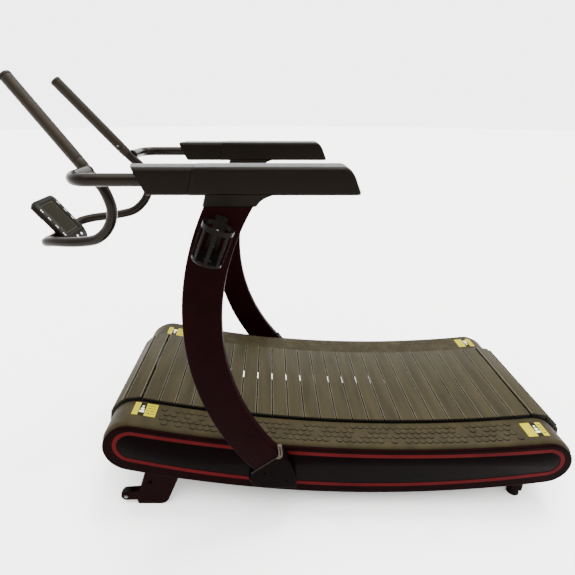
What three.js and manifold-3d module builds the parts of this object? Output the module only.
// A curved manual treadmill. Millimetres, +Z up, +X towards the rear, +Y to the user's right.
// The slats run on a loop of two rubber belts round four pulleys, between two side frames.
import * as THREE from 'three';
import { mergeVertices } from 'three/addons/utils/BufferGeometryUtils.js';
import Module from 'manifold-3d';

const wasm = await Module();
wasm.setup();

// ---------- driving dimensions ----------
const TOUCH_GAP = 0.3;                 // between pieces that rest on each other
const CUT_OVER = 5;                    // how far a cutter passes the face that it opens

// running deck: nose centres, the arc through them and the return run below
const FRONT_NOSE = new THREE.Vector2(-524, 310);
const REAR_NOSE = new THREE.Vector2(1060, 227);
const DECK_RADIUS = 4930;
const RETURN_RADIUS = 7890;
const SLAT_TOP = 118;                  // slat surface above the arc, and from a nose centre
const SLAT_THICKNESS = 15;
const SLAT_COUNT = 59;
const SLAT_GAP = 5.5;
const SLAT_HALF_LENGTH = 242.5;
const FIRST_SLAT_START = -2;           // where the first slat starts along the deck
const BELT_THICKNESS = 8;
const BELT_INNER_Y = 205;
const BELT_OUTER_Y = 240;
const PULLEY_CLEARANCE = 1.2;

// side structure, as distances from the middle of the machine
const FRAME_INNER_Y = 332;
const FRAME_OUTER_Y = 340;
const FRAME_INSET = 12;                // the frame's lower edge inside the side panel's
const COVER_INNER_Y = 248;
const COVER_FLAT_Y = 362;
const COVER_OUTER_Y = 373.7;
const COVER_UNDERSIDE = 103;
const COVER_THICKNESS = 3;
const COVER_SHOULDER_DROP = 12;
const COVER_REAR_X = 1047;
const COVER_FRONT_END = THREE.MathUtils.degToRad(192);
const COVER_REAR_END = THREE.MathUtils.degToRad(-12);
const PANEL_TOP = 97.5;                // above the deck's arc
const PANEL_FRONT = { x: -521, radius: 103.5 };
const PANEL_REAR = { x: 1049.3, radius: 92.7 };
const PANEL_BOTTOM_RADIUS = 3950;
const PANEL_RIM_Y = 374;
const PANEL_OUTER_Y = 385;
const PANEL_THICKNESS = 4;
const PANEL_BEVEL = 1.5;

// posts and arms
const POST_CENTRE = new THREE.Vector2(635, 840);
const POST_RADIUS = 848.5;
const POST_WIDTH = 124;
const POST_INNER_Y = 390;
const POST_OUTER_Y = 430;
const POST_WALL = 3;
const POST_BOTTOM_ANGLE = THREE.MathUtils.degToRad(220.3);
const BOOT_OUTER_Y = 437;
const ARM_TOP = 1342;
const ARM_BOTTOM = 1264;
const ARM_INNER_Y = 332;
const ARM_OUTER_Y = 432;
const ARM_EDGE = 10;
const COLLAR_BOTTOM = 1232;
const SLEEVE_NOSE = { x: -374, z: 1303 };
const SLEEVE_LEAN = THREE.MathUtils.degToRad(25);
const SLEEVE_TURN = THREE.MathUtils.degToRad(16.7);

// handlebar tubes
const TUBE_RADIUS = 19;
const TUBE_WALL = 2;
const BAR_Y = 382;
const BAR_Z = 1300;
const BAR_BEND_RADIUS = 60;
const BAR_FRONT_X = -580;
const GRIP_TUBE_RADIUS = 17.5;
const GRIP_TIP = new THREE.Vector3(-822, 158.4, 1587.7);
const GRIP_FOOT = new THREE.Vector3(-581, 214.4, 1290);
const GRIP_CAP_LENGTH = 12;
const FOAM_RADIUS = 21.3;
const FOAM_BORE = 18.3;
const FOAM_FOOT_CLEARANCE = 55;
const CROSSBAR_X = -815;
const CROSSBAR_Z = 1030;
const CROSSBAR_HALF_LENGTH = 110;

// console, in its own frame: x down the face, z out of the face towards the user
const CONSOLE_CENTRE = new THREE.Vector3(-802, 0, 1075);
const CONSOLE_TILT = THREE.MathUtils.degToRad(52.2);
const CONSOLE_HALF_WIDTH = 80;
const CONSOLE_TOP = -114;
const CONSOLE_BEND = 60;
const CONSOLE_DEPTH = 18.5;
const FACE_THICKNESS = 3.7;
const KEYPAD_LENGTH = 44;
const KEYPAD_TILT = THREE.MathUtils.degToRad(18);
const BUTTON_RADIUS = 6;
const BUTTON_HEIGHT = 5.5;
const BUTTON_CLEARANCE = 0.6;

// floor contact
const FLOOR = 8;
const WHEEL_CENTRE = new THREE.Vector2(-572, 48);
const WHEEL_RADIUS = 23;
const WHEEL_HALF_WIDTH = 10.5;
const LEG_INNER_Y = FRAME_OUTER_Y + TOUCH_GAP;
const LEG_OUTER_Y = 371;
const LEG_MIDDLE = (LEG_INNER_Y + LEG_OUTER_Y) / 2;
const REAR_FOOT = new THREE.Vector2(1003, 312);
const REAR_LEG_BOTTOM = FLOOR + 24;
const REAR_LEG_TOP = 185;

// ---------- materials ----------
function finish(color, roughness, metalness) {
  return new THREE.MeshStandardMaterial({ color, roughness, metalness });
}

const slatRubber = finish(0x55523f, 0.85, 0.0);
const coverPlastic = finish(0x4f4c3e, 0.75, 0.0);
const panelPlastic = finish(0x17131a, 0.5, 0.0);
const blackPaint = finish(0x1c1416, 0.45, 0.3);
const armCasting = finish(0x2a2521, 0.7, 0.1);
const foam = finish(0x2b2924, 0.95, 0.0);
const steel = finish(0x8b8d90, 0.4, 0.9);
const frameSteel = finish(0x2b2b2e, 0.55, 0.6);
const wheelRubber = finish(0x151515, 0.8, 0.0);
const consolePlastic = finish(0x1b1b19, 0.5, 0.0);
const screenGlass = finish(0x4a4a34, 0.2, 0.0);
const keyPlastic = finish(0xe6e6e2, 0.5, 0.0);

// ---------- solids ----------
function toSolid(geometry) {
  const bare = new THREE.BufferGeometry();
  bare.setAttribute('position', geometry.getAttribute('position'));
  bare.setIndex(geometry.getIndex());
  const merged = mergeVertices(bare);
  const mesh = new wasm.Mesh({
    numProp: 3,
    vertProperties: new Float32Array(merged.getAttribute('position').array),
    triVerts: new Uint32Array(merged.getIndex().array),
  });
  mesh.merge();
  return new wasm.Manifold(mesh);
}

function toGeometry(solid) {
  const mesh = solid.getMesh();
  const geometry = new THREE.BufferGeometry();
  geometry.setAttribute('position', new THREE.BufferAttribute(mesh.vertProperties, 3));
  geometry.setIndex(new THREE.BufferAttribute(mesh.triVerts, 1));
  geometry.computeVertexNormals();
  return geometry;
}

function join(...pieces) {
  return toGeometry(pieces.map(toSolid).reduce((all, next) => all.add(next)));
}

function cut(body, ...tools) {
  return toGeometry(tools.map(toSolid).reduce((rest, tool) => rest.subtract(tool), toSolid(body)));
}

const common = (a, b) => toGeometry(toSolid(a).intersect(toSolid(b)));

// ---------- outlines in the side view: x and z ----------
const at = (x, z) => new THREE.Vector2(x, z);

function arc(centre, radius, from, to, steps) {
  return Array.from({ length: steps + 1 }, (_, i) => {
    const angle = from + (to - from) * i / steps;
    return at(centre.x + radius * Math.cos(angle), centre.y + radius * Math.sin(angle));
  });
}

function outline(...runs) {
  const points = [];
  for (const point of runs.flat()) {
    if (points.length === 0 || points.at(-1).distanceTo(point) > 0.01) points.push(point);
  }
  if (points[0].distanceTo(points.at(-1)) < 0.01) points.pop();
  return new THREE.Shape(points);
}

// a hole runs the opposite way round to its outline
function withHole(shape, hole) {
  const points = hole.getPoints();
  const { isClockWise } = THREE.ShapeUtils;
  if (isClockWise(points) === isClockWise(shape.getPoints())) points.reverse();
  shape.holes.push(new THREE.Path(points));
  return shape;
}

const circle = (radius, sides) => outline(arc(at(0, 0), radius, 0, 2 * Math.PI, sides));

// a plate with its outline in the side view, between two distances across the machine
function plate(shape, yA, yB, edge = 0) {
  const high = Math.max(yA, yB);
  const geometry = new THREE.ExtrudeGeometry(shape, {
    depth: Math.abs(yA - yB) - 2 * edge,
    bevelEnabled: edge > 0,
    bevelThickness: edge,
    bevelSize: edge,
    bevelOffset: -edge,
    bevelSegments: 1,
  });
  geometry.rotateX(Math.PI / 2);
  geometry.translate(0, high - edge, 0);
  return geometry;
}

function box(x, y, z) {
  const size = [x, y, z].map(([low, high]) => Math.abs(high - low));
  const middle = [x, y, z].map(([low, high]) => (low + high) / 2);
  return new THREE.BoxGeometry(...size).translate(...middle);
}

// a round bar across the machine
function crossPin(radius, centre, yA, yB, sides) {
  const pin = new THREE.CylinderGeometry(radius, radius, Math.abs(yA - yB), sides);
  return pin.translate(centre.x, (yA + yB) / 2, centre.y);
}

function pipe(path, steps, radius = TUBE_RADIUS) {
  const section = withHole(circle(radius, 10), circle(radius - TUBE_WALL, 6));
  return new THREE.ExtrudeGeometry(section, { steps, extrudePath: path });
}

// ---------- the deck's curve ----------
// the point above a and b that is radiusA from a and radiusB from b
function centreAbove(a, b, radiusA, radiusB = radiusA) {
  const chord = b.clone().sub(a);
  const along = (radiusA ** 2 - radiusB ** 2 + chord.lengthSq()) / (2 * chord.length());
  const up = at(-chord.y, chord.x).setLength(Math.sqrt(radiusA ** 2 - along ** 2));
  return a.clone().add(chord.setLength(along)).add(up);
}

const DECK = centreAbove(FRONT_NOSE, REAR_NOSE, DECK_RADIUS);
const RETURN = centreAbove(FRONT_NOSE, REAR_NOSE, RETURN_RADIUS);
const DECK_FRONT = FRONT_NOSE.clone().sub(DECK).angle();
const DECK_REAR = REAR_NOSE.clone().sub(DECK).angle();
const RETURN_FRONT = FRONT_NOSE.clone().sub(RETURN).angle();
const RETURN_REAR = REAR_NOSE.clone().sub(RETURN).angle();
const RUN_STEPS = 12;
const NOSE_STEPS = 8;
const COVER_NOSE_STEPS = 10;

const deckAngle = (x) => 1.5 * Math.PI + Math.asin((x - DECK.x) / DECK_RADIUS);

function deckPoint(x, height) {
  return arc(DECK, DECK_RADIUS - height, deckAngle(x), deckAngle(x), 1)[0];
}

// the two ends of the cover and of the panel turn about their own centres, on or near the arc
const COVER_REAR = deckPoint(COVER_REAR_X, 0);
const PANEL_FRONT_CENTRE = deckPoint(PANEL_FRONT.x, PANEL_TOP - PANEL_FRONT.radius);
const PANEL_REAR_CENTRE = deckPoint(PANEL_REAR.x, PANEL_TOP - PANEL_REAR.radius);
const PANEL_BOTTOM = centreAbove(
  PANEL_FRONT_CENTRE,
  PANEL_REAR_CENTRE,
  PANEL_BOTTOM_RADIUS - PANEL_FRONT.radius,
  PANEL_BOTTOM_RADIUS - PANEL_REAR.radius,
);
const PANEL_BOTTOM_FRONT = PANEL_FRONT_CENTRE.clone().sub(PANEL_BOTTOM).angle();
const PANEL_BOTTOM_REAR = PANEL_REAR_CENTRE.clone().sub(PANEL_BOTTOM).angle();

function panelBottomRun(inset) {
  return arc(PANEL_BOTTOM, PANEL_BOTTOM_RADIUS - inset, PANEL_BOTTOM_REAR, PANEL_BOTTOM_FRONT, RUN_STEPS);
}

function panelOutline(inset) {
  const front = deckAngle(PANEL_FRONT.x);
  const rear = deckAngle(PANEL_REAR.x);
  const topRadius = DECK_RADIUS - PANEL_TOP + inset;
  const frontRadius = PANEL_FRONT.radius - inset;
  const rearRadius = PANEL_REAR.radius - inset;
  return outline(
    arc(DECK, topRadius, front, rear, RUN_STEPS),
    arc(PANEL_REAR_CENTRE, rearRadius, rear - Math.PI, PANEL_BOTTOM_REAR - 2 * Math.PI, NOSE_STEPS),
    panelBottomRun(inset),
    arc(PANEL_FRONT_CENTRE, frontRadius, PANEL_BOTTOM_FRONT, front - Math.PI, NOSE_STEPS),
  );
}

// over the deck and down both ends, front to rear
function coverRun(height) {
  const rear = deckAngle(COVER_REAR_X);
  return [
    ...arc(FRONT_NOSE, height, COVER_FRONT_END, DECK_FRONT - Math.PI, COVER_NOSE_STEPS),
    ...arc(DECK, DECK_RADIUS - height, DECK_FRONT, rear, RUN_STEPS),
    ...arc(COVER_REAR, height, rear - Math.PI, COVER_REAR_END, COVER_NOSE_STEPS),
  ];
}

// ---------- the slat belt ----------
// the deck, the rear nose, the return run and the front nose, at a height above the arcs
function beltStretches(height) {
  const stretch = (centre, radius, from, to, outward) => {
    return { centre, radius, from, to, outward, length: radius * Math.abs(to - from) };
  };
  return [
    stretch(DECK, DECK_RADIUS - height, DECK_FRONT, DECK_REAR, -1),
    stretch(REAR_NOSE, height, DECK_REAR - Math.PI, RETURN_REAR - 2 * Math.PI, 1),
    stretch(RETURN, RETURN_RADIUS + height, RETURN_REAR, RETURN_FRONT, 1),
    stretch(FRONT_NOSE, height, RETURN_FRONT, DECK_FRONT - Math.PI, 1),
  ];
}

function beltLoop(height) {
  const runs = beltStretches(height).map((stretch) => {
    return arc(stretch.centre, stretch.radius, stretch.from, stretch.to, RUN_STEPS);
  });
  return outline(...runs);
}

function slat(height, distance) {
  const stretches = beltStretches(height);
  let left = distance;
  const stretch = stretches.find((candidate) => {
    if (left <= candidate.length) return true;
    left -= candidate.length;
    return false;
  });
  const turned = stretch.from + (stretch.to - stretch.from) * left / stretch.length;
  const place = arc(stretch.centre, stretch.radius, turned, turned, 1)[0];
  const outward = at(Math.cos(turned), Math.sin(turned)).multiplyScalar(stretch.outward);
  const pitch = stretches.reduce((sum, one) => sum + one.length, 0) / SLAT_COUNT;
  const root = 1;
  const body = box(
    [(SLAT_GAP - pitch) / 2, (pitch - SLAT_GAP) / 2],
    [-SLAT_HALF_LENGTH, SLAT_HALF_LENGTH],
    [-root, SLAT_THICKNESS],
  );
  body.rotateY(Math.atan2(outward.x, outward.y));
  return body.translate(place.x, 0, place.y);
}

function slatBelt() {
  const slatUnderside = SLAT_TOP - SLAT_THICKNESS;
  const loop = () => withHole(beltLoop(slatUnderside), beltLoop(slatUnderside - BELT_THICKNESS));
  const belts = [-1, 1].map((side) => plate(loop(), side * BELT_INNER_Y, side * BELT_OUTER_Y));
  const length = beltStretches(slatUnderside).reduce((sum, one) => sum + one.length, 0);
  const slats = Array.from({ length: SLAT_COUNT }, (_, i) => {
    return slat(slatUnderside, (FIRST_SLAT_START + (i + 0.5) * length / SLAT_COUNT) % length);
  });
  return join(...belts, ...slats);
}

const BELT_UNDERSIDE = SLAT_TOP - SLAT_THICKNESS - BELT_THICKNESS;

function pulley(nose, side) {
  const bore = 13.2;
  const hub = 28;
  const rim = BELT_UNDERSIDE - PULLEY_CLEARANCE;
  const hubInner = BELT_INNER_Y - 5;
  const rimInner = BELT_INNER_Y + 1;
  const profile = [
    at(bore, hubInner), at(hub, hubInner), at(hub, rimInner), at(rim, rimInner),
    at(rim, BELT_OUTER_Y), at(bore, BELT_OUTER_Y), at(bore, hubInner),
  ];
  const wheel = new THREE.LatheGeometry(profile, 18);
  if (side < 0) wheel.rotateX(Math.PI);
  return wheel.translate(nose.x, 0, nose.y);
}

function axle(nose) {
  const radius = 12.5;
  const reach = FRAME_INNER_Y - 1;
  return crossPin(radius, nose, -reach, reach, 16);
}

function flangeBearing(nose, side) {
  const flange = withHole(circle(43, 8), circle(13.5, 16));
  const innerY = 300;
  const body = plate(flange, side * innerY, side * (FRAME_INNER_Y - TOUCH_GAP));
  return body.rotateY(Math.PI / 8).translate(nose.x, 0, nose.y);
}

// ---------- frame ----------
function sideFrame(side) {
  const frontRadius = COVER_UNDERSIDE - 4;
  const rearRadius = PANEL_REAR.radius - 4;
  const lowReach = THREE.MathUtils.degToRad(20);
  const rear = deckAngle(COVER_REAR_X);
  const shape = outline(
    arc(DECK, DECK_RADIUS - COVER_UNDERSIDE + TOUCH_GAP, DECK_FRONT, rear, RUN_STEPS),
    arc(COVER_REAR, rearRadius, rear - Math.PI, -lowReach, 6),
    panelBottomRun(FRAME_INSET),
    arc(FRONT_NOSE, frontRadius, Math.PI + lowReach, DECK_FRONT - Math.PI, 6),
  );
  return plate(shape, side * FRAME_INNER_Y, side * FRAME_OUTER_Y);
}

const MEMBER_HALF = at(30, 20);         // a cross member's half width and half height

function crossMember(x) {
  const reach = FRAME_INNER_Y - TOUCH_GAP;
  const wall = 3;
  const rectangle = (inset) => {
    const [wide, high] = [MEMBER_HALF.x - inset, MEMBER_HALF.y - inset];
    return outline([at(-wide, -high), at(wide, -high), at(wide, high), at(-wide, high)]);
  };
  const tube = plate(withHole(rectangle(0), rectangle(wall)), -reach, reach);
  const place = deckPoint(x, 0);
  return tube.rotateY(-deckAngle(x) - Math.PI / 2).translate(place.x, 0, place.y);
}

// the rail stands on the cross members and carries ball bearings that roll under the belt
function bearingRail(side) {
  const railBottom = MEMBER_HALF.y + 0.5;
  const railTop = 85;
  const railY = [246, 252];
  const studRadius = 6;
  const bearingRadius = 17.5;
  const bearingCount = 8;
  const bearingSpacing = 170;
  const firstBearingX = -350;
  const bearingInnerY = 215;
  const bearingOuterY = 229;
  const [front, rear] = [deckAngle(-400), deckAngle(910)];
  const rail = plate(outline(
    arc(DECK, DECK_RADIUS - railTop, front, rear, 12),
    arc(DECK, DECK_RADIUS - railBottom, rear, front, 12),
  ), side * railY[0], side * railY[1]);
  const rollerHeight = BELT_UNDERSIDE - PULLEY_CLEARANCE - bearingRadius;
  const rollers = Array.from({ length: bearingCount }, (_, i) => {
    const place = deckPoint(firstBearingX + i * bearingSpacing, rollerHeight);
    const bearing = crossPin(bearingRadius, place, side * bearingInnerY, side * bearingOuterY, 10);
    const stud = crossPin(studRadius, place, side * (bearingOuterY - 1), side * (railY[0] + 1), 6);
    return [bearing, stud];
  });
  return join(rail, ...rollers.flat());
}

function speedSensor() {
  return box([-440, -412], [290, FRAME_INNER_Y - TOUCH_GAP], [296, 312]);
}

// ---------- covers ----------
const BOOT_CORE = { x: [-8, 68], z: [188, 258] };

function sidePanel(side) {
  const skinY = PANEL_OUTER_Y - PANEL_THICKNESS;
  const skin = plate(panelOutline(0), side * skinY, side * PANEL_OUTER_Y, PANEL_BEVEL);
  const rim = plate(
    withHole(panelOutline(0), panelOutline(PANEL_THICKNESS)),
    side * PANEL_RIM_Y,
    side * (skinY + PANEL_BEVEL),
  );
  const clearance = 2;
  const window = box(
    [BOOT_CORE.x[0] - clearance, BOOT_CORE.x[1] + clearance],
    [side * (PANEL_RIM_Y - CUT_OVER), side * (PANEL_OUTER_Y + CUT_OVER)],
    [BOOT_CORE.z[0] - clearance, BOOT_CORE.z[1] + clearance],
  );
  return cut(join(skin, rim), window);
}

// foot rail: a sheet over the slat ends, with a rounded shoulder down to the side panel
function topCover(side) {
  const top = COVER_UNDERSIDE + COVER_THICKNESS;
  const strip = (low, high) => outline(coverRun(high), coverRun(low).reverse());
  const sheet = plate(strip(COVER_UNDERSIDE, top), side * COVER_INNER_Y, side * COVER_FLAT_Y);
  const shoulder = plate(
    strip(top - COVER_SHOULDER_DROP, top - 1),
    side * (COVER_FLAT_Y - 1),
    side * COVER_OUTER_Y,
  );
  return join(sheet, shoulder);
}

// ---------- posts ----------
const angleAtHeight = (radius, z) => Math.PI - Math.asin((z - POST_CENTRE.y) / radius);

function postSector(inset, topZ, bottomAngle) {
  const outer = POST_RADIUS + POST_WIDTH / 2 - inset;
  const inner = POST_RADIUS - POST_WIDTH / 2 + inset;
  return outline(
    arc(POST_CENTRE, outer, angleAtHeight(outer, topZ), bottomAngle, 10),
    arc(POST_CENTRE, inner, bottomAngle, angleAtHeight(inner, topZ), 10),
  );
}

function post(side) {
  const top = COLLAR_BOTTOM - TOUCH_GAP;
  const over = THREE.MathUtils.degToRad(1);
  const skin = plate(postSector(0, top, POST_BOTTOM_ANGLE), side * POST_INNER_Y, side * POST_OUTER_Y, 4);
  const hollow = plate(
    postSector(POST_WALL + 2, top + CUT_OVER, POST_BOTTOM_ANGLE + over),
    side * (POST_INNER_Y + POST_WALL), side * (POST_OUTER_Y - POST_WALL));
  return cut(skin, hollow);
}

// the boot takes the post's foot and passes through the side panel to the frame; a rib stands
// on top of the left one only
function postBoot(side) {
  const rib = side < 0 ? [at(26, 371), at(42, 371)] : [];
  const shape = outline([
    at(-80, 206), at(-66, 243.5), at(37, 327.5), ...rib, at(48, 322),
    at(73, 288), at(92, 236), at(101, 164), at(-22, 162), at(-56, 171),
  ]);
  const shell = plate(shape, side * (PANEL_OUTER_Y + TOUCH_GAP), side * BOOT_OUTER_Y, 2);
  const core = box(
    BOOT_CORE.x,
    [side * (FRAME_OUTER_Y + TOUCH_GAP), side * (PANEL_OUTER_Y + CUT_OVER)],
    BOOT_CORE.z,
  );
  return join(shell, core);
}

// ---------- arms ----------
function arm(side) {
  const shape = new THREE.Shape();
  shape.moveTo(-215, ARM_BOTTOM);
  shape.lineTo(-209, ARM_TOP);
  shape.lineTo(205, ARM_TOP);
  shape.quadraticCurveTo(236, 1340, 247, 1300);
  shape.lineTo(252, 1279);
  shape.lineTo(248, ARM_BOTTOM);
  shape.lineTo(20, ARM_BOTTOM);
  shape.quadraticCurveTo(-24, 1258, -37, COLLAR_BOTTOM);
  shape.lineTo(-191, COLLAR_BOTTOM);
  shape.lineTo(-181, ARM_BOTTOM);
  return plate(outline(shape.getPoints(5)), side * ARM_INNER_Y, side * ARM_OUTER_Y, ARM_EDGE);
}

// its front face leans forwards at the top and turns away at the outer side
function armSleeve(side) {
  const parting = 0.5;
  const shape = outline([
    at(-209 - parting, ARM_TOP), at(-215 - parting, ARM_BOTTOM), at(-440, ARM_BOTTOM), at(-440, ARM_TOP),
  ]);
  const body = plate(shape, side * ARM_INNER_Y, side * ARM_OUTER_Y, ARM_EDGE);
  const ahead = box([-150, 0], [-120, 120], [-90, 90]);
  ahead.rotateY(-SLEEVE_LEAN).rotateZ(-side * SLEEVE_TURN);
  ahead.translate(SLEEVE_NOSE.x, side * BAR_Y, SLEEVE_NOSE.z);
  const bore = new THREE.CylinderGeometry(TUBE_RADIUS + 1, TUBE_RADIUS + 1, 260, 16);
  bore.rotateZ(Math.PI / 2).translate(-360, side * BAR_Y, BAR_Z);
  return cut(body, ahead, bore);
}

// ---------- handlebar ----------
// from the sleeve forwards, then round a bend inwards to the grip tube
function handlebar(side) {
  const rearEnd = new THREE.Vector3(-235, side * BAR_Y, BAR_Z);
  const innerEnd = new THREE.Vector3(BAR_FRONT_X, side * (GRIP_FOOT.y + GRIP_TUBE_RADIUS + 4), BAR_Z);
  const centre = at(BAR_FRONT_X + BAR_BEND_RADIUS, BAR_Y - BAR_BEND_RADIUS);
  const bend = arc(centre, BAR_BEND_RADIUS, Math.PI / 2, Math.PI, 6)
    .map((point) => new THREE.Vector3(point.x, side * point.y, BAR_Z));
  const path = new THREE.CurvePath();
  path.add(new THREE.LineCurve3(rearEnd, bend[0]));
  path.add(new THREE.CatmullRomCurve3(bend));
  path.add(new THREE.LineCurve3(bend.at(-1), innerEnd));
  return pipe(path, 14);
}

const mirrored = (point, side) => new THREE.Vector3(point.x, point.y * side, point.z);
const gripDirection = GRIP_FOOT.clone().sub(GRIP_TIP).normalize();
const alongGrip = (distance) => GRIP_TIP.clone().addScaledVector(gripDirection, distance);

// straight through the foam grip, then the C down to the run that carries the console
function gripTube(side) {
  const top = mirrored(alongGrip(GRIP_CAP_LENGTH + TOUCH_GAP), side);
  const foot = mirrored(GRIP_FOOT, side);
  const sweep = [
    [-549, 220, 1257], [-529, 223, 1214], [-523, 222, 1171], [-535, 219, 1129], [-560, 213, 1094],
    [-597, 205, 1067], [-646, 195, 1055], [-705, 183, 1049], [-762, 165, 1045], [-802, 144, 1038],
    [CROSSBAR_X, CROSSBAR_HALF_LENGTH + 12, CROSSBAR_Z], [CROSSBAR_X, CROSSBAR_HALF_LENGTH, CROSSBAR_Z],
  ].map(([x, y, z]) => new THREE.Vector3(x, side * y, z));
  const path = new THREE.CurvePath();
  path.add(new THREE.LineCurve3(top, foot));
  path.add(new THREE.CatmullRomCurve3([foot, ...sweep], false, 'centripetal'));
  return pipe(path, 26, GRIP_TUBE_RADIUS);
}

function crossbar() {
  const reach = CROSSBAR_HALF_LENGTH - 2;
  const ends = [-reach, reach].map((y) => new THREE.Vector3(CROSSBAR_X, y, CROSSBAR_Z));
  return pipe(new THREE.LineCurve3(...ends), 1, GRIP_TUBE_RADIUS);
}

function foamGrip(side) {
  const length = GRIP_TIP.distanceTo(GRIP_FOOT) - GRIP_CAP_LENGTH - FOAM_FOOT_CLEARANCE;
  const section = withHole(circle(FOAM_RADIUS, 14), circle(FOAM_BORE, 14));
  const sleeve = new THREE.ExtrudeGeometry(section, { depth: length, bevelEnabled: false });
  const upright = new THREE.Vector3(0, 0, 1);
  const direction = mirrored(gripDirection, side);
  sleeve.applyQuaternion(new THREE.Quaternion().setFromUnitVectors(upright, direction));
  const start = mirrored(alongGrip(GRIP_CAP_LENGTH + TOUCH_GAP), side);
  return sleeve.translate(...start.toArray());
}

function gripCap(side) {
  const profile = [
    at(0, -GRIP_CAP_LENGTH), at(FOAM_RADIUS, -GRIP_CAP_LENGTH), at(FOAM_RADIUS, -6),
    at(FOAM_RADIUS - 4, -2), at(0, 0),
  ];
  const cap = new THREE.LatheGeometry(profile, 14);
  const lathed = new THREE.Vector3(0, 1, 0);
  const outward = mirrored(gripDirection, side).negate();
  cap.applyQuaternion(new THREE.Quaternion().setFromUnitVectors(lathed, outward));
  return cap.translate(...mirrored(GRIP_TIP, side).toArray());
}

// ---------- console ----------
function consoleFaceLine(depth) {
  const bend = at(CONSOLE_BEND, -depth);
  const downKeypad = at(Math.cos(KEYPAD_TILT), -Math.sin(KEYPAD_TILT));
  const end = bend.clone().addScaledVector(downKeypad, KEYPAD_LENGTH);
  return [at(CONSOLE_TOP - CUT_OVER, -depth), bend, end];
}

// the console's outline seen square on: an arched top and rounded lower corners
function consoleFront(inset) {
  const half = CONSOLE_HALF_WIDTH - inset;
  const top = CONSOLE_TOP + inset;
  const bottom = CONSOLE_BEND + KEYPAD_LENGTH - 4 - inset;
  const corner = 22;
  const arch = 3;
  const shape = new THREE.Shape();
  shape.moveTo(top + corner, -half);
  shape.lineTo(bottom - corner, -half);
  shape.quadraticCurveTo(bottom, -half, bottom, corner - half);
  shape.lineTo(bottom, half - corner);
  shape.quadraticCurveTo(bottom, half, bottom - corner, half);
  shape.lineTo(top + corner, half);
  shape.quadraticCurveTo(top + arch, half, top + arch, half - corner);
  shape.quadraticCurveTo(top - arch, 0, top + arch, corner - half);
  shape.quadraticCurveTo(top + arch, -half, top + corner, -half);
  return outline(shape.getPoints(3));
}

const consoleBlank = (inset) => {
  const block = new THREE.ExtrudeGeometry(consoleFront(inset), { depth: 60, bevelEnabled: false });
  return block.translate(0, 0, -50);
};

function buttonPlaces() {
  const rows = [{ down: 14, across: [-35, 0, 35] }, { down: 31, across: [-19, 19] }];
  return rows.flatMap((row) => row.across.map((y) => {
    const x = CONSOLE_BEND + row.down * Math.cos(KEYPAD_TILT);
    return new THREE.Vector3(x, y, -row.down * Math.sin(KEYPAD_TILT));
  }));
}

function buttonCylinder(place, radius, low, high) {
  const body = new THREE.CylinderGeometry(radius, radius, high - low, 10);
  body.rotateX(Math.PI / 2).translate(0, 0, (low + high) / 2).rotateY(KEYPAD_TILT);
  return body.translate(...place.toArray());
}

function consoleHousing() {
  const [top, bend, end] = consoleFaceLine(FACE_THICKNESS + TOUCH_GAP);
  const back = [
    at(end.x - 8, -CONSOLE_DEPTH - 5), at(CONSOLE_BEND, -CONSOLE_DEPTH), at(top.x, -CONSOLE_DEPTH),
  ];
  const side = outline([top, bend, end], back);
  const body = plate(side, -CONSOLE_HALF_WIDTH - CUT_OVER, CONSOLE_HALF_WIDTH + CUT_OVER);
  const pockets = buttonPlaces().map((place) => {
    return buttonCylinder(place, BUTTON_RADIUS + BUTTON_CLEARANCE, -8, 0);
  });
  return cut(common(body, consoleBlank(1)), ...pockets);
}

const SCREEN = { x: [-95, 48], y: [-50, 50] };

function consoleFace() {
  const side = outline(consoleFaceLine(0), consoleFaceLine(FACE_THICKNESS).reverse());
  const sheet = plate(side, -CONSOLE_HALF_WIDTH - CUT_OVER, CONSOLE_HALF_WIDTH + CUT_OVER);
  const window = box(SCREEN.x, SCREEN.y, [-FACE_THICKNESS - CUT_OVER, CUT_OVER]);
  const holes = buttonPlaces().map((place) => {
    return buttonCylinder(place, BUTTON_RADIUS + BUTTON_CLEARANCE, -10, 10);
  });
  return cut(common(sheet, consoleBlank(0)), window, ...holes);
}

function consoleScreen() {
  const shrink = ([low, high]) => [low + 0.5, high - 0.5];
  return box(shrink(SCREEN.x), shrink(SCREEN.y), [-FACE_THICKNESS, -1]);
}

// a saddle round the crossbar, closed by the console's back
function consoleBracket() {
  const fromCentre = at(CROSSBAR_X - CONSOLE_CENTRE.x, CROSSBAR_Z - CONSOLE_CENTRE.z);
  const bar = fromCentre.rotateAround(at(0, 0), CONSOLE_TILT);
  const back = -CONSOLE_DEPTH - TOUCH_GAP;
  const inner = GRIP_TUBE_RADIUS + 0.8;
  const outer = inner + 5;
  const shape = outline(
    [at(bar.x - outer, back)],
    arc(bar, outer, Math.PI, 2 * Math.PI, 8),
    [at(bar.x + outer, back), at(bar.x + inner, back)],
    arc(bar, inner, 2 * Math.PI, Math.PI, 8),
    [at(bar.x - inner, back)],
  );
  return plate(shape, -25, 25);
}

// ---------- bottle cage, on the left post ----------
const CAGE_Z = 1148;
const CAGE_INNER = 42;
const CAGE_WALL = 4;

function bottleCage() {
  const low = -64;
  const ringAt = 34;
  const bar = (angle) => {
    const strut = box([CAGE_INNER - 1, CAGE_INNER + 3], [-6, 6], [low + 2, ringAt + 2]);
    return strut.rotateZ(angle);
  };
  const band = withHole(circle(CAGE_INNER + CAGE_WALL, 18), circle(CAGE_INNER, 18));
  const ring = new THREE.ExtrudeGeometry(band, { depth: 14, bevelEnabled: false });
  const disc = circle(CAGE_INNER + 2, 18);
  const cup = new THREE.ExtrudeGeometry(disc, { depth: 5, bevelEnabled: false });
  const spine = box([-18, 18], [CAGE_INNER + 1, CAGE_INNER + CAGE_WALL + 2], [low, ringAt + 30]);
  const bars = [0, -Math.PI / 2, Math.PI].map(bar);
  return join(ring.translate(0, 0, ringAt), cup.translate(0, 0, low), spine, ...bars);
}

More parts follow.
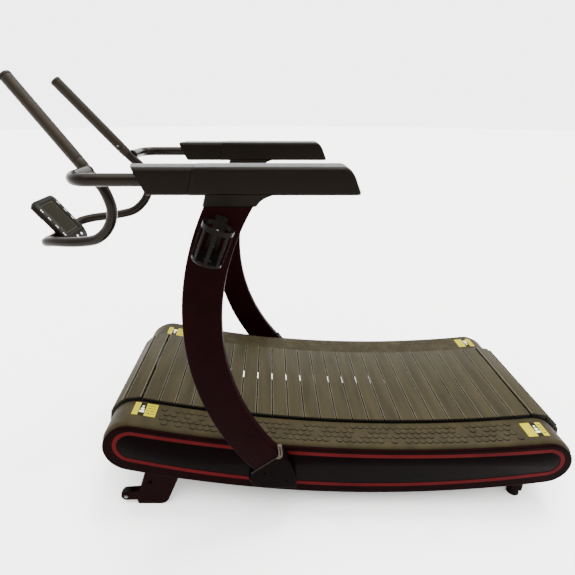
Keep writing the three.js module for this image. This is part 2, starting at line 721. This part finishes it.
// ---------- legs, wheels and feet ----------
function frontLeg(side) {
  const leg = outline(
    [at(-444, 300), at(-531, 34), at(-528, FLOOR), at(-452, FLOOR)],
    arc(at(-440, FLOOR + 40), 40, -Math.PI / 2, -Math.PI / 10, 4),
    [at(-359, 139), at(-296, 300)],
  );
  const cheek = WHEEL_RADIUS - 3;
  const lug = outline(
    arc(WHEEL_CENTRE, cheek, Math.PI / 2, 3 * Math.PI / 2, 6),
    [at(-505, WHEEL_CENTRE.y - cheek + 4), at(-505, WHEEL_CENTRE.y + cheek + 6)],
  );
  const slotHalf = WHEEL_HALF_WIDTH + 0.7;
  const slotReach = WHEEL_RADIUS + 17;
  const slot = box(
    [WHEEL_CENTRE.x - slotReach, WHEEL_CENTRE.x + WHEEL_RADIUS + 3],
    [side * (LEG_MIDDLE - slotHalf), side * (LEG_MIDDLE + slotHalf)],
    [WHEEL_CENTRE.y - slotReach, WHEEL_CENTRE.y + slotReach],
  );
  const setBack = 0.2;
  const body = join(
    plate(leg, side * LEG_INNER_Y, side * LEG_OUTER_Y),
    plate(lug, side * (LEG_INNER_Y + setBack), side * (LEG_OUTER_Y - setBack)),
  );
  const holeEnds = [LEG_INNER_Y - CUT_OVER, LEG_OUTER_Y + CUT_OVER].map((y) => side * y);
  return cut(body, slot, crossPin(4.6, WHEEL_CENTRE, ...holeEnds, 8));
}

function transportWheel(side) {
  const bore = 4.7;
  const half = WHEEL_HALF_WIDTH;
  const shoulder = WHEEL_RADIUS - 3;
  const profile = [
    at(bore, -half), at(shoulder, -half), at(WHEEL_RADIUS, 3 - half), at(WHEEL_RADIUS, half - 3),
    at(shoulder, half), at(bore, half), at(bore, -half),
  ];
  const wheel = new THREE.LatheGeometry(profile, 16);
  return wheel.translate(WHEEL_CENTRE.x, side * LEG_MIDDLE, WHEEL_CENTRE.y);
}

function wheelAxle(side) {
  return crossPin(4, WHEEL_CENTRE, side * (LEG_INNER_Y + 0.2), side * (LEG_OUTER_Y + 2.5), 8);
}

function rearLeg(side) {
  const inner = 298;
  const half = 24;
  const body = box(
    [REAR_FOOT.x - half, REAR_FOOT.x + half],
    [side * inner, side * (FRAME_INNER_Y - TOUCH_GAP)],
    [REAR_LEG_BOTTOM, REAR_LEG_TOP],
  );
  const hole = new THREE.CylinderGeometry(6.6, 6.6, 60, 12).rotateX(Math.PI / 2);
  return cut(body, hole.translate(REAR_FOOT.x, side * REAR_FOOT.y, REAR_LEG_BOTTOM + 25));
}

function rearFoot(side) {
  const profile = [
    at(0, 0), at(23, 0), at(23, 9), at(12, 15), at(12, 21), at(6, 21), at(6, 50), at(0, 50),
  ];
  const foot = new THREE.LatheGeometry(profile, 14).rotateX(Math.PI / 2);
  return foot.translate(REAR_FOOT.x, side * REAR_FOOT.y, FLOOR);
}

// ---------- assembly ----------
const machine = new THREE.Group();

function add(name, geometry, material, parent = machine) {
  const mesh = new THREE.Mesh(geometry, material);
  mesh.name = name;
  parent.add(mesh);
}

for (const [name, side] of [['left', -1], ['right', 1]]) {
  add(`side_frame_${name}`, sideFrame(side), frameSteel);
  add(`bearing_rail_${name}`, bearingRail(side), steel);
  add(`front_pulley_${name}`, pulley(FRONT_NOSE, side), steel);
  add(`rear_pulley_${name}`, pulley(REAR_NOSE, side), steel);
  add(`front_bearing_${name}`, flangeBearing(FRONT_NOSE, side), steel);
  add(`rear_bearing_${name}`, flangeBearing(REAR_NOSE, side), steel);
  add(`side_panel_${name}`, sidePanel(side), panelPlastic);
  add(`top_cover_${name}`, topCover(side), coverPlastic);
  add(`post_${name}`, post(side), blackPaint);
  add(`post_boot_${name}`, postBoot(side), armCasting);
  add(`arm_${name}`, arm(side), armCasting);
  add(`arm_sleeve_${name}`, armSleeve(side), blackPaint);
  add(`handlebar_${name}`, handlebar(side), blackPaint);
  add(`grip_tube_${name}`, gripTube(side), blackPaint);
  add(`foam_grip_${name}`, foamGrip(side), foam);
  add(`grip_cap_${name}`, gripCap(side), foam);
  add(`front_leg_${name}`, frontLeg(side), blackPaint);
  add(`transport_wheel_${name}`, transportWheel(side), wheelRubber);
  add(`wheel_axle_${name}`, wheelAxle(side), steel);
  add(`rear_leg_${name}`, rearLeg(side), frameSteel);
  add(`rear_foot_${name}`, rearFoot(side), wheelRubber);
}

add('front_crossmember', crossMember(-300), frameSteel);
add('middle_crossmember', crossMember(250), frameSteel);
add('rear_crossmember', crossMember(800), frameSteel);
add('front_axle', axle(FRONT_NOSE), steel);
add('rear_axle', axle(REAR_NOSE), steel);
add('slat_belt', slatBelt(), slatRubber);
add('speed_sensor', speedSensor(), consolePlastic);
add('console_crossbar', crossbar(), blackPaint);

const consoleGroup = new THREE.Group();
consoleGroup.position.copy(CONSOLE_CENTRE);
consoleGroup.rotation.y = CONSOLE_TILT;
machine.add(consoleGroup);
add('console_housing', consoleHousing(), consolePlastic, consoleGroup);
add('console_face', consoleFace(), consolePlastic, consoleGroup);
add('console_screen', consoleScreen(), screenGlass, consoleGroup);
add('console_bracket', consoleBracket(), frameSteel, consoleGroup);
buttonPlaces().forEach((place, i) => {
  const key = buttonCylinder(place, BUTTON_RADIUS, -FACE_THICKNESS, BUTTON_HEIGHT - FACE_THICKNESS);
  add(`console_button_${i + 1}`, key, keyPlastic, consoleGroup);
});

const cageGroup = new THREE.Group();
const cageAngle = angleAtHeight(POST_RADIUS, CAGE_Z);
cageGroup.position.set(
  POST_CENTRE.x + POST_RADIUS * Math.cos(cageAngle),
  -(POST_OUTER_Y + TOUCH_GAP + CAGE_WALL + 2 + CAGE_INNER),
  CAGE_Z,
);
cageGroup.rotation.y = Math.PI - cageAngle;
machine.add(cageGroup);
add('bottle_cage', bottleCage(), blackPaint, cageGroup);

// the frame's origin is on the floor under the middle of the machine's box
machine.updateMatrixWorld(true);
const bounds = new THREE.Box3().setFromObject(machine, true);
const middle = bounds.getCenter(new THREE.Vector3());
machine.position.set(-middle.x, -middle.y, -bounds.min.z);
machine.updateMatrixWorld(true);

export default machine;
